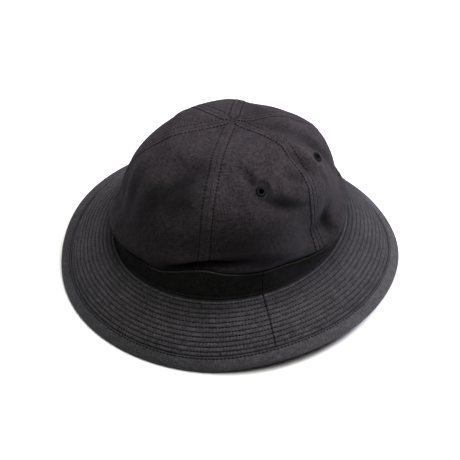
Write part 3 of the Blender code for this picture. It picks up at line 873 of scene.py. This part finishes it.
def loose_fold_depth(azimuth, radius, height_share):
    # How deep the cloth is sunk at a point by all the folds
    depth = 0.0
    for fold in CROWN_FOLDS:
        across = angle_between(azimuth, math.radians(fold["azimuth"])) * radius
        upward = (height_share - fold["height"]) * CROWN_HEIGHT
        turn = math.radians(fold["turn"])
        along = (upward * math.cos(turn) + across * math.sin(turn)) / (fold["length"] * CROWN_HEIGHT)
        aside = (across * math.cos(turn) - upward * math.sin(turn)) / (fold["width"] * CROWN_HEIGHT)
        depth += fold["depth"] * CROWN_HEIGHT * math.exp(-along ** 2 - aside ** 2)
    return depth


def fold_depth(azimuth, radius, height_share):
    # The same with the cloth held level round each eyelet
    depth = loose_fold_depth(azimuth, radius, height_share)
    for eyelet in EYELETS:
        middle = math.radians(eyelet["azimuth"])
        across = angle_between(azimuth, middle) * radius
        upward = (height_share - eyelet["height"]) * CROWN_HEIGHT * EYELET_SLOPE_STRETCH
        held = smooth_step(2.4 - 1.4 * math.hypot(across, upward) / EYELET_STIFF_RADIUS)
        if held > 0.0:
            depth += held * (loose_fold_depth(middle, radius, eyelet["height"]) - depth)
    return depth


def crown_point(azimuth, row, puff_share=0.0, relief=0.0, loose=0.0):
    # relief lifts the cloth off its smooth surface, loose lets it rumple. Gives how deep it is sunk too
    rows = crown_profile(azimuth)
    radius, height = curve_through(rows, row)
    share = max(0.0, (height - BAND_HEIGHT) / CROWN_HEIGHT)
    small_step = 0.05
    ahead = curve_through(rows, min(row + small_step, LAST_ROW))
    behind = curve_through(rows, max(row - small_step, 0.0))
    slope = Vector((ahead[0] - behind[0], ahead[1] - behind[1])).normalized()
    free = smooth_step((row - LIP_ROW) / LIP_FADE_ROWS) * smooth_step((LAST_ROW - row) / APEX_FADE_ROWS)
    out = free * (PANEL_PUFF * puff_share - fold_depth(azimuth, radius, share))
    if loose > 0.0:
        spot = turned_point(azimuth, radius, height)
        out += free * loose * rumple(spot, CROWN_RUMPLES)
    out += relief * smooth_step(row - (LIP_ROW - 1))
    radius += slope.y * out
    height -= slope.x * out
    right, forward = APEX_RIGHT * share, APEX_FORWARD * share
    point = tilted(turned_point(azimuth, radius, BAND_FOOT_HEIGHT + height, right, forward))
    return point, free * (fold_depth(azimuth, radius, share) - PLAIN_DEPTH)


def rows_by_length(spacing):
    # Crown rows at even spacing up the slope, each with its distance from the hem
    steps = 4000
    profile = crown_profile(math.radians(60.0))
    rows, gone, last = [(0.0, 0.0)], 0.0, curve_through(profile, 0.0)
    for number in range(1, steps + 1):
        row = LAST_ROW * number / steps
        here = curve_through(profile, row)
        gone += math.dist(here, last)
        last = here
        if gone - rows[-1][1] >= spacing or number == steps:
            rows.append((row, gone))
    return rows


CROWN_ROWS = rows_by_length(ROW_SPACING)
FIRST_STITCH_RUN = next(run for row, run in CROWN_ROWS if row > LIP_ROW + 0.1)
SEAM_STEPS = [0.0, 0.0002, 0.0004, 0.0008, 0.0014, 0.0021, 0.0027, 0.0032, 0.0036, 0.0039, 0.0042, 0.0046,
              0.0052, 0.0062]


def seam_relief(distance, run):
    # Ditch at the seam, raised strip over its allowance, stitched groove, slow puckers beyond
    welt = SEAM_WELT * (1.0 - smooth_step((distance - 0.0033) / 0.0011))
    pucker = SEAM_PUCKER * math.cos(2.0 * math.pi * run / (3.0 * STITCH_LENGTH))
    return marks(SEAM_RELIEF, distance) + welt + pucker * bell(distance - SEAM_STITCH_OFFSET, 0.002)


def stitch_offset(width):
    # Distance of the stitch row from the seam; the rows close in on each other at the apex
    return min(SEAM_STITCH_OFFSET, 0.40 * width)


def panel_limits(number, row):
    left, right = CROWN_SEAMS[number - 1], CROWN_SEAMS[number % len(CROWN_SEAMS)]
    full_turn = 2.0 * math.pi if number == len(CROWN_SEAMS) else 0.0
    start, end = seam_azimuth(left, row), seam_azimuth(right, row) + full_turn
    radius = curve_through(crown_profile((start + end) / 2.0), row)[0]
    return start, end, max(radius, APEX_POINT_RADIUS)


def panel_point(number, distance, row, run):
    # Point of a panel at a distance from its left seam, and its painted light and wear. Near the apex, where
    # the panel is too narrow to be firm, the seams' welts run together
    start, end, radius = panel_limits(number, row)
    width = (end - start) * radius - SEAM_GAP
    share = distance / width
    azimuth = start + (SEAM_GAP / 2.0 + distance) / radius
    off_seam = min(distance, width - distance)
    firm = smooth_step((width / 2.0 - SEAM_FIRM_FROM) / SEAM_FIRM_OVER)
    relief = SEAM_WELT + (seam_relief(off_seam, run) - SEAM_WELT) * firm
    puff = math.sin(math.pi * share) ** 2
    loose = smooth_step(off_seam / SEAM_STIFF_REACH)
    # Painted highlight on the raised strip, painted shade in the seam's ditch and stitched grooves
    painted_light_and_wear = PLAIN_LIGHT_AND_WEAR + marks(SEAM_PAINTED_LIGHT, off_seam) * firm
    point, sunk = crown_point(azimuth, row, puff, relief, loose)
    rise = (point.z - BAND_FOOT_HEIGHT - BAND_HEIGHT) / CROWN_HEIGHT
    # Painted shade: darker towards the band, paler towards the top
    painted_shading = PAINTED_SHADE_AT_BAND + (PAINTED_SHADE_AT_TOP - PAINTED_SHADE_AT_BAND) * smooth_step(rise * 1.1)
    above = CROWN_HEIGHT * rise + BAND_HEIGHT - band_height(azimuth)
    # Painted shade in the crease above the band
    painted_shading -= CREASE_PAINTED_SHADE["painted_light_and_wear"] * nearness(azimuth, CREASE_PAINTED_SHADE) * bell(above, CREASE_PAINTED_SHADE["rise"])
    # Painted shade in the folds: darker for each metre the cloth is sunk
    return point, painted_light_and_wear + painted_shading - PAINTED_SHADE_IN_FOLDS * sunk


def panel_width(number, row):
    start, end, radius = panel_limits(number, row)
    return (end - start) * radius - SEAM_GAP


def sew_panel(number, material, holes):
    mesh = bmesh.new()
    edge = len(SEAM_STEPS)
    columns = 2 * (edge - 1) + MIDDLE_COLUMNS

    def place(column, row_number):
        row, run = CROWN_ROWS[row_number]
        width = panel_width(number, row)
        squeeze = min(1.0, 0.45 * width / SEAM_STEPS[-1])
        steps = SEAM_STEPS[-1] * squeeze
        if column < edge:
            distance = SEAM_STEPS[column] * squeeze
        elif column > columns - edge:
            distance = width - SEAM_STEPS[columns - column] * squeeze
        else:
            distance = steps + (width - 2.0 * steps) * (column - edge + 1) / MIDDLE_COLUMNS
        point, painted_light_and_wear = panel_point(number, distance, row, run)
        off_row = min(distance, width - distance) - stitch_offset(width)
        stitch = ((run - FIRST_STITCH_RUN) / STITCH_LENGTH, off_row)
        return point, (distance - width / 2.0, run), painted_light_and_wear, stitch

    lay_sheet(mesh, columns, len(CROWN_ROWS) - 1, place)
    inside = [face for face in mesh.faces
              if any((face.calc_center_median() - hole).length < EYELET_CUT_RADIUS for hole in holes)]
    bmesh.ops.delete(mesh, geom=inside, context="FACES")
    name = f"crown_panel_{number}"
    panel = finish_piece(f"{name}_cloth", mesh, material, "crown_twill", name, turn_outward=False)
    wall = panel.modifiers.new("Wall", "SOLIDIFY")
    wall.thickness = CROWN_WALL
    wall.offset = -1.0
    return panel


def row_at_run(run):
    # Row of the crown at a distance from the hem
    after = next((index for index, pair in enumerate(CROWN_ROWS) if pair[1] > run), len(CROWN_ROWS) - 1)
    (row_a, run_a), (row_b, run_b) = CROWN_ROWS[max(after, 1) - 1], CROWN_ROWS[max(after, 1)]
    return row_a + (row_b - row_a) * (run - run_a) / (run_b - run_a)


def sew_seams(thread):
    mesh = bmesh.new()
    for number in range(1, len(CROWN_SEAMS) + 1):
        last_run = max(run for row, run in CROWN_ROWS if panel_width(number, row) > NARROWEST_SEWN)
        stitches = int((last_run - FIRST_STITCH_RUN) / STITCH_LENGTH)
        for from_left in (True, False):

            def line(share, number=number, stitches=stitches, from_left=from_left):
                run = FIRST_STITCH_RUN + share * stitches * STITCH_LENGTH
                row = row_at_run(run)

                def spot(row, aside=0.0):
                    width = panel_width(number, row)
                    off = stitch_offset(width) + aside
                    return panel_point(number, off if from_left else width - off, row, run)[0]

                point = spot(row)
                along = (spot(row + 0.02) - point).normalized()
                beside = (spot(row, 0.0006) - point).normalized()
                out = beside.cross(along) if from_left else along.cross(beside)
                return point, along, out.normalized()

            sew_thread(mesh, stitches, line, closed=False)
    finish_piece("crown_stitching", mesh, thread, "eyelet_thread")


# Eyelets

def row_at_height(azimuth, height_share):
    low, high = float(LIP_ROW), float(LAST_ROW)
    for _ in range(30):
        middle = (low + high) / 2.0
        height = curve_through(crown_profile(azimuth), middle)[1]
        if (height - BAND_HEIGHT) / CROWN_HEIGHT < height_share:
            low = middle
        else:
            high = middle
    return low


def panel_under(eyelet):
    azimuth = math.radians(eyelet["azimuth"])
    row = row_at_height(azimuth, eyelet["height"])
    for number in range(1, len(CROWN_SEAMS) + 1):
        start, end, radius = panel_limits(number, row)
        ahead = (azimuth - start) % (2.0 * math.pi)
        if ahead < end - start:
            return number, ahead * radius - SEAM_GAP / 2.0, row
    return 1, 0.0, row


def eyelet_seat(eyelet):
    # Middle of the hole on the cloth's outer face, and the way out of the cloth
    number, distance, row = panel_under(eyelet)
    reach, reach_rows = EYELET_RADIUS, 0.25
    beside = ((reach, 0.0), (-reach, 0.0), (0.0, reach_rows), (0.0, -reach_rows))
    right, left, above, below = (panel_point(number, distance + aside, row + up, 0.0)[0]
                                 for aside, up in beside)
    normal = (right - left).cross(above - below).normalized()
    return number, (right + left + above + below) / 4.0, normal


def work_eyelet(number, middle, normal, thread):
    # Buttonhole stitches laid side by side round the hole, on both faces of the cloth
    mesh = bmesh.new()
    columns = EYELET_TURNS * 6
    near = CROWN_WALL / 2.0 + EYELET_GAP * 0.4
    sides = 16
    ring_middle = (EYELET_RADIUS + EYELET_HOLE_RADIUS) / 2.0
    ring_half = (EYELET_RADIUS - EYELET_HOLE_RADIUS) / 2.0
    turned = Matrix.Translation(middle - normal * (CROWN_WALL / 2.0))
    turned = turned @ normal.to_track_quat("Z", "Y").to_matrix().to_4x4()

    def place(column, side):
        round_way = 2.0 * math.pi * (column % columns) / columns
        turn = 2.0 * math.pi * (side % sides) / sides
        lump = abs(math.cos(EYELET_TURNS * round_way / 2.0)) ** 0.6
        across, up = math.cos(turn), math.sin(turn)
        across = math.copysign(abs(across) ** 0.55, across)
        up = math.copysign(abs(up) ** 0.7, up)
        radius = ring_middle + across * ring_half * (0.94 + 0.06 * lump)
        bead = bell(radius - EYELET_HOLE_RADIUS - 0.0004, 0.0004)
        height = up * (near + EYELET_THREAD * (0.25 + 0.45 * lump + 0.55 * bead))
        point = turned @ Vector((radius * math.cos(round_way), radius * math.sin(round_way), height))
        # Dark across the ring, with painted highlights on the stitches' lumps and on the bead round the hole
        painted_light_and_wear = EYELET_TONE_AND_HIGHLIGHT["foot"] + EYELET_TONE_AND_HIGHLIGHT["lump"] * lump + EYELET_TONE_AND_HIGHLIGHT["bead"] * bead
        return point, (round_way * ring_middle, turn * ring_half), painted_light_and_wear, NOT_SEWN

    lay_sheet(mesh, columns, sides, place)
    return finish_piece(f"eyelet_{number}_thread", mesh, thread, "eyelet_thread", f"eyelet_{number}")


# Finishes

def fill(tree, made, settings):
    # A socket named with underscores takes a constant, or a link from another node's output
    for key, value in settings.items():
        name = key.replace("_", " ")
        if name not in made.inputs:
            setattr(made, key, value)
        elif isinstance(value, bpy.types.NodeSocket):
            tree.links.new(value, made.inputs[name])
        else:
            made.inputs[name].default_value = value


def node(tree, kind, output, **settings):
    made = tree.nodes.new(f"ShaderNode{kind}")
    fill(tree, made, settings)
    return made.outputs[output]


def reckon(tree, operation, *terms):
    made = tree.nodes.new("ShaderNodeMath")
    made.operation = operation
    for socket, term in zip(made.inputs, terms):
        if isinstance(term, bpy.types.NodeSocket):
            tree.links.new(term, socket)
        else:
            socket.default_value = term
    return made.outputs["Value"]


def product(tree, *terms):
    return reduce(lambda first, second: reckon(tree, "MULTIPLY", first, second), terms)


def rescaled(tree, value, given, wanted):
    # Carries a range of values over to another
    return node(tree, "MapRange", "Result", Value=value, From_Min=given[0], From_Max=given[1],
                To_Min=wanted[0], To_Max=wanted[1])


def new_finish(name):
    finish = bpy.data.materials.new(name)
    finish.use_nodes = True
    return finish, finish.node_tree, finish.node_tree.nodes["Principled BSDF"]


def brightness_from_light_and_wear(tree):
    # Brightness of the cloth from its painted light and wear: 1 where plain, less with painted shade in
    # grooves, folds, creases and on the unlit side, more with painted highlights on edges, lips and puffs and
    # on the lit side, and on rubbed edges
    painted_light_and_wear = node(tree, "Attribute", "Fac", attribute_name="painted_light_and_wear")
    return rescaled(tree, painted_light_and_wear, (-0.1, 2.5), (0.10, 4.0))


def stitch_marks(tree):
    # Two masks along a row of stitches: the pressed cloth under each stitch and the puff between two. Both
    # shape the bump, and colour the cloth with painted shade under the stitch and a painted highlight on the
    # puff
    rows = node(tree, "UVMap", "UV", uv_map="stitches")
    apart = tree.nodes.new("ShaderNodeSeparateXYZ")
    fill(tree, apart, {"Vector": rows})
    wave = reckon(tree, "SINE", product(tree, apart.outputs["X"], math.pi))
    along = product(tree, wave, wave)
    between = reckon(tree, "SUBTRACT", 1.0, along)
    masks = []
    for spread, half_width in ((along, 0.00065), (between, 0.00100)):
        off = reckon(tree, "DIVIDE", apart.outputs["Y"], half_width)
        fall = product(tree, off, off, -1.0)
        masks.append(product(tree, reckon(tree, "EXPONENT", fall), spread))
    return masks


def dyed_twill(name, colour, turn, shine, sheen, weave_depth):
    # Fine twill: diagonal ribs, uneven yarns, faded patches, painted highlights on ridges and puffs, painted
    # shade in stitched grooves and folds
    finish, tree, shader = new_finish(name)
    cloth = node(tree, "UVMap", "UV", uv_map="cloth")
    turned = node(tree, "Mapping", "Vector", Vector=cloth, Rotation=(0.0, 0.0, turn))
    ribs = node(tree, "TexWave", "Fac", Vector=turned, Scale=500.0, Distortion=1.5, Detail=1.0,
                Detail_Scale=2.0)
    yarns = []
    for stretch in ((1.0, 0.22, 1.0), (0.22, 1.0, 1.0)):
        along = node(tree, "Mapping", "Vector", Vector=cloth, Scale=stretch)
        yarns.append(node(tree, "TexNoise", "Fac", Vector=along, Scale=900.0, Detail=2.0, Roughness=0.6))
    crossed = reckon(tree, "ADD", *yarns)
    place = node(tree, "TexCoord", "Object")
    fade = node(tree, "TexNoise", "Fac", Vector=place, Scale=60.0, Detail=6.0, Roughness=0.78)
    grain = rescaled(tree, crossed, (0.60, 1.40), (0.15, 1.85))
    patches = rescaled(tree, fade, (0.3, 0.7), (0.70, 1.30))
    pressed_and_shaded, puffed_and_lit = stitch_marks(tree)
    # Painted shade under each stitch and a painted highlight on the puff between two
    dark = reckon(tree, "MULTIPLY_ADD", pressed_and_shaded, -0.85, 1.0)
    light = reckon(tree, "MULTIPLY_ADD", puffed_and_lit, 0.45, dark)
    whole = product(tree, grain, patches, brightness_from_light_and_wear(tree), light)
    shade = node(tree, "VectorMath", "Vector", operation="SCALE", Vector=colour, Scale=whole)
    pulled = reckon(tree, "SUBTRACT", puffed_and_lit, pressed_and_shaded)
    puckers = node(tree, "Bump", "Normal", Strength=1.0, Distance=0.00035, Height=pulled)
    weave = reckon(tree, "MULTIPLY_ADD", crossed, 0.8, ribs)
    bump = node(tree, "Bump", "Normal", Strength=0.8, Distance=weave_depth, Height=weave, Normal=puckers)
    fill(tree, shader, {
        "Base_Color": shade, "Normal": bump, "Roughness": 0.9, "Specular_IOR_Level": shine,
        "Sheen_Weight": sheen, "Sheen_Roughness": 0.4, "Sheen_Tint": (0.82, 0.78, 0.95, 1.0),
    })
    return finish


def spun_thread(name, colour):
    # Dull thread with a fine fuzz, darker and paler with its piece's painted light and wear
    finish, tree, shader = new_finish(name)
    place = node(tree, "TexCoord", "Object")
    fuzz = node(tree, "TexNoise", "Fac", Vector=place, Scale=2500.0, Detail=2.0)
    whole = product(tree, reckon(tree, "ADD", fuzz, 0.5), brightness_from_light_and_wear(tree))
    shade = node(tree, "VectorMath", "Vector", operation="SCALE", Vector=colour, Scale=whole)
    bump = node(tree, "Bump", "Normal", Strength=0.5, Distance=0.0001, Height=fuzz)
    fill(tree, shader, {
        "Base_Color": shade, "Normal": bump, "Roughness": 0.8,
        "Specular_IOR_Level": 0.05, "Sheen_Weight": 0.01,
    })
    return finish


# Floor, light and camera

def pale_floor():
    finish, tree, shader = new_finish("pale_floor")
    fill(tree, shader, {"Base_Color": (0.50, 0.50, 0.50, 1.0), "Roughness": 0.9, "Specular_IOR_Level": 0.1})
    mesh = bmesh.new()
    bmesh.ops.create_grid(mesh, x_segments=1, y_segments=1, size=6.0)
    floor = added_mesh("floor", mesh, finish)


def view_ways():
    # Towards the camera, to its right and up in its picture
    back = Vector((math.sin(CAMERA_AZIMUTH) * math.cos(CAMERA_ELEVATION),
                   -math.cos(CAMERA_AZIMUTH) * math.cos(CAMERA_ELEVATION), math.sin(CAMERA_ELEVATION)))
    right = Vector((math.cos(CAMERA_AZIMUTH), math.sin(CAMERA_AZIMUTH), 0.0))
    return back, right, back.cross(right)


def turned_to(place, aim):
    # At a place, with the front towards the aim
    toward = (place - aim).normalized()
    right = Vector((0.0, 0.0, 1.0)).cross(toward).normalized()
    turned = Matrix((right, toward.cross(right), toward)).transposed().to_4x4()
    return Matrix.Translation(place) @ turned


def photo_camera():
    back, right, up = view_ways()
    place = CAMERA_CENTRE + back * CAMERA_DISTANCE
    aim = CAMERA_CENTRE + (up * CAMERA_AIM_UP + right * CAMERA_AIM_RIGHT) * CAMERA_DISTANCE
    data = bpy.data.cameras.new("camera")
    data.lens = CAMERA_LENS
    data.sensor_width = 36.0
    camera = added("camera", data)
    camera.matrix_world = turned_to(place, aim)
    bpy.context.scene.camera = camera


def soft_light(name, right, away, up, size, power, colour):
    # A square light that faces the hat
    _, right_way, _ = view_ways()
    away_way = Vector((-right_way.y, right_way.x, 0.0))
    data = bpy.data.lights.new(name, "AREA")
    data.size = size
    data.energy = power
    data.color = colour
    place = right_way * right + away_way * away + Vector((0.0, 0.0, up))
    added(name, data).matrix_world = turned_to(place, LIGHT_AIM)


def studio():
    world = bpy.context.scene.world or bpy.data.worlds.new("studio")
    bpy.context.scene.world = world
    world.use_nodes = True
    tree = world.node_tree
    fill(tree, tree.nodes["Background"], {"Color": (0.95, 0.96, 1.0, 1.0), "Strength": 0.10})
    for light in SOFT_LIGHTS:
        soft_light(**light)
    bpy.context.scene.view_settings.view_transform = "Standard"


def panel_cut(number):
    # A panel laid flat: widest part, length from hem to point, and area
    widest, length, area = 0.0, 0.0, 0.0
    for (below, _), (above, _) in zip(CROWN_ROWS, CROWN_ROWS[1:]):
        start, end, _ = panel_limits(number, below)
        profile = crown_profile((start + end) / 2.0)
        step = math.dist(curve_through(profile, above), curve_through(profile, below))
        width = panel_width(number, below)
        widest, length, area = max(widest, width), length + step, area + width * step
    return (widest, length), area


def make_hat():
    crown_twill, brim_twill, band_twill, bias_twill = (dyed_twill(**twill) for twill in TWILLS)
    thread = spun_thread("black_thread", THREAD_BLACK)
    buttonhole = spun_thread("buttonhole_thread", BUTTONHOLE_BLACK)
    seats = [eyelet_seat(eyelet) for eyelet in EYELETS]
    rings = [work_eyelet(number, middle, normal, buttonhole)
             for number, (_, middle, normal) in enumerate(seats, start=1)]
    for number in range(1, len(CROWN_SEAMS) + 1):
        holes = [middle for panel, middle, _ in seats if panel == number]
        panel = sew_panel(number, crown_twill, holes)
        cut, area = panel_cut(number)
    sew_seams(thread)
    band, band_rows = sew_band(band_twill, thread)
    brim, brim_rows = sew_brim(brim_twill, thread)
    binding, rim_row = sew_binding(bias_twill, thread)


photo_camera()
studio()
pale_floor()
make_hat()
